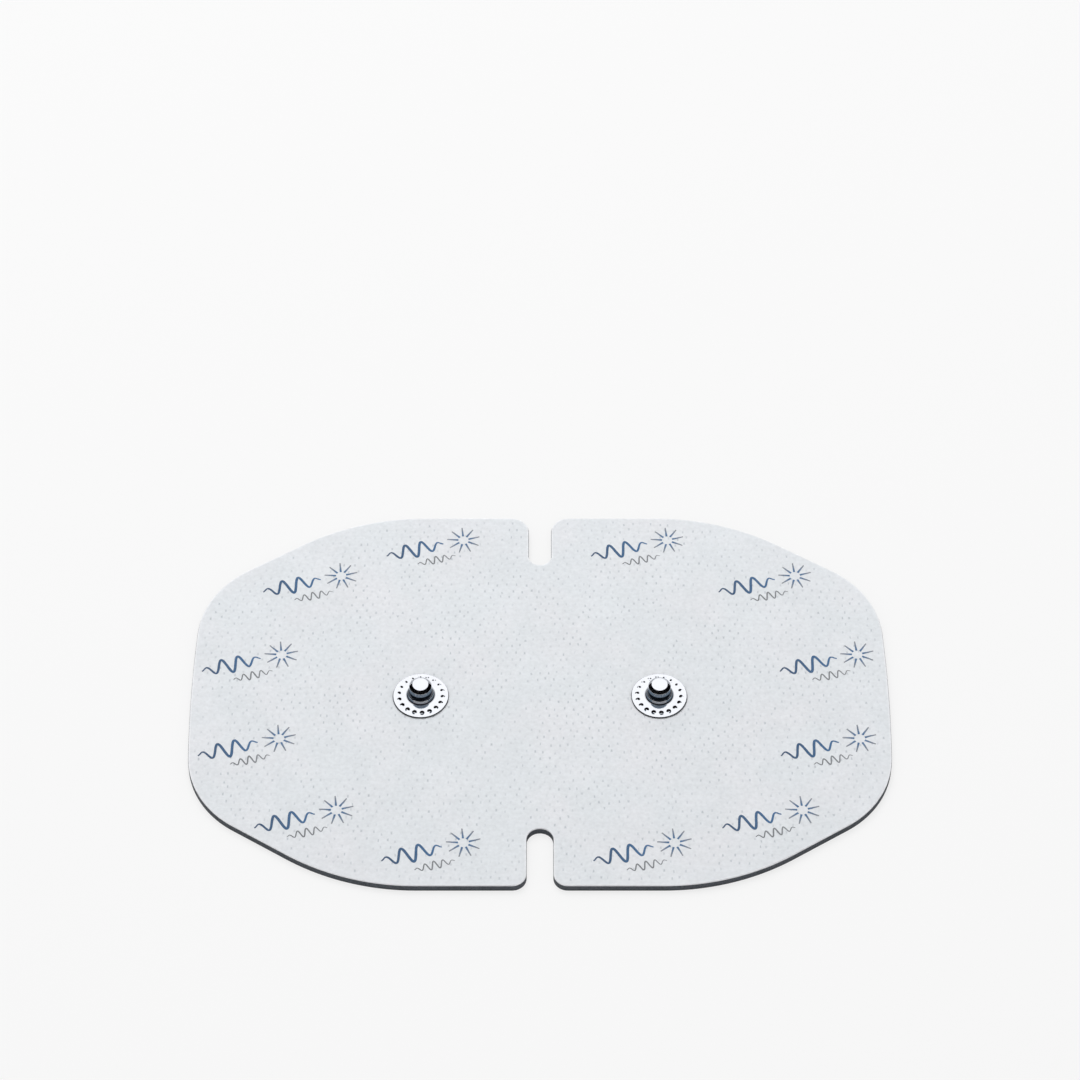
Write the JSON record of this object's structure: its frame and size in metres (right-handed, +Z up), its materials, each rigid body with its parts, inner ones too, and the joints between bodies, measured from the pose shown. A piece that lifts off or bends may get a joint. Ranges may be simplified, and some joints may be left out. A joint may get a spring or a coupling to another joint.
{
  "type": "tens electrode pad",
  "caption": "Flexible skin electrode pad with a white nonwoven cover, two gel poles and metal snap studs for a stimulator.",
  "frame": {"origin": "centre of the pad's underside, in the plane of the gels' skin faces", "axes": "+X along the pad towards the right-hand snap, +Y towards the back long edge, +Z up out of the cover towards the snap heads"},
  "size_m": [0.1244, 0.0834, 0.005],
  "materials": {
    "nonwoven_cover": "matt point-bonded nonwoven",
    "dark_foam": "matt closed-cell foam",
    "carbon_film": "satin conductive film",
    "skin_gel": "wet, slightly clear gel",
    "patch_tape": "thin insulating tape",
    "eyelet_metal": "dull plated metal",
    "bright_nickel": "polished plated metal"
  },
  "bodies": {
    "root": {"cover_sheet": "nonwoven_cover", "foam_frame": "dark_foam", "carbon_film_left": "carbon_film", "carbon_film_right": "carbon_film", "gel_pad_left": "skin_gel", "gel_pad_right": "skin_gel", "insulating_patch_left": "patch_tape", "insulating_patch_right": "patch_tape", "snap_eyelet_left": "eyelet_metal", "snap_eyelet_right": "eyelet_metal", "snap_stud_left": "bright_nickel", "snap_stud_right": "bright_nickel"}
  },
  "joints": []
}
